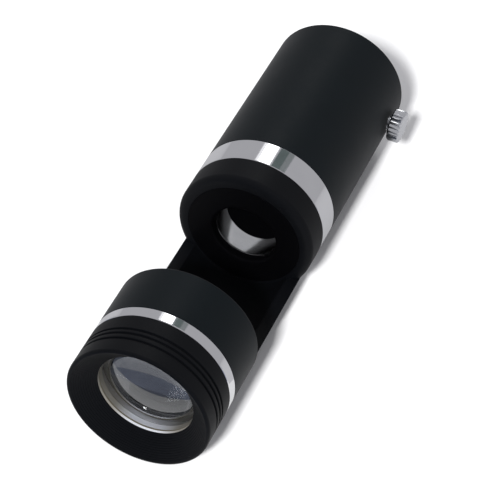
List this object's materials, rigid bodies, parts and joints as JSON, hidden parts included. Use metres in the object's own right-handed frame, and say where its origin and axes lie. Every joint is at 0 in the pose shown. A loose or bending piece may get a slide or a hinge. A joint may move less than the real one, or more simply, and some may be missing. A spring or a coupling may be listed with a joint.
{
  "type": "dark-field loupe",
  "caption": "Tubular dark-field loupe with a lens cell, a cut-away window for a gemstone, a reflector and a socket that clamps a torch.",
  "frame": {"origin": "centre of the torch socket's mouth at the lamp end, on the optical axis", "axes": "+Y along the optical axis from the lens end to the lamp end, +Z out of the cut-away window, +X towards the thumb screw; the loupe lies on its side with the window up"},
  "size_m": [0.0312, 0.1, 0.028],
  "materials": {
    "black_anodised": "fine matt black anodising on aluminium",
    "black_flat": "dead flat black against stray light",
    "bare_aluminium": "turned, bare",
    "polished_ring": "polished",
    "reflector_mirror": "polished aluminium",
    "lens_glass": "polished optical glass, coated",
    "window_glass": "clear, polished",
    "bright_steel": "nickel plated, knurled",
    "brass": "turned",
    "rubber": "moulded black rubber",
    "nylon": "natural nylon"
  },
  "bodies": {
    "housing": {"front_polished_ring": "polished_ring", "lens_collar": "black_anodised", "stone_trough": "black_anodised", "lamp_collar": "black_anodised", "iris_plate": "black_flat", "reflector": "reflector_mirror", "stop_disc": "black_flat", "stop_pillar": "brass", "stop_screw": "bright_steel", "light_window": "window_glass", "window_retaining_ring": "black_anodised", "rear_polished_ring": "polished_ring", "lamp_tube": "black_anodised", "torch_seat_washer": "rubber"},
    "focus_seal": {"barrel_oring": "rubber"},
    "eyepiece": {"eyepiece_ring": "black_anodised", "lens_barrel": "black_anodised", "lens_seat_ring": "bare_aluminium", "front_flint_lens": "lens_glass", "middle_crown_lens": "lens_glass", "rear_flint_lens": "lens_glass", "lens_retaining_ring": "black_anodised"},
    "clamp_pad": {"pressure_pad": "nylon"},
    "thumb_screw": {"thumb_screw_head": "bright_steel", "thumb_screw_shank": "bright_steel"}
  },
  "joints": [
    {"name": "focus_travel", "type": "slide", "parent": "housing", "child": "focus_seal", "axis": [0, -1, 0], "range_m": [0, 0.002]},
    {"name": "focus_turn", "type": "hinge", "parent": "focus_seal", "child": "eyepiece", "pos_m": [0, -0.1, 0], "axis": [0, -1, 0], "range_deg": [0, 720]},
    {"name": "clamp_travel", "type": "slide", "parent": "housing", "child": "clamp_pad", "axis": [1, 0, 0], "range_m": [-0.0005, 0.003]},
    {"name": "clamp_turn", "type": "hinge", "parent": "clamp_pad", "child": "thumb_screw", "pos_m": [0.0146, -0.0082, 0], "axis": [1, 0, 0], "range_deg": [-360, 2160]}
  ],
  "couplings": [
    {"joint": "focus_turn", "follows": "focus_travel", "rad_per_m": 6283.2},
    {"joint": "clamp_turn", "follows": "clamp_travel", "rad_per_m": 12566}
  ]
}
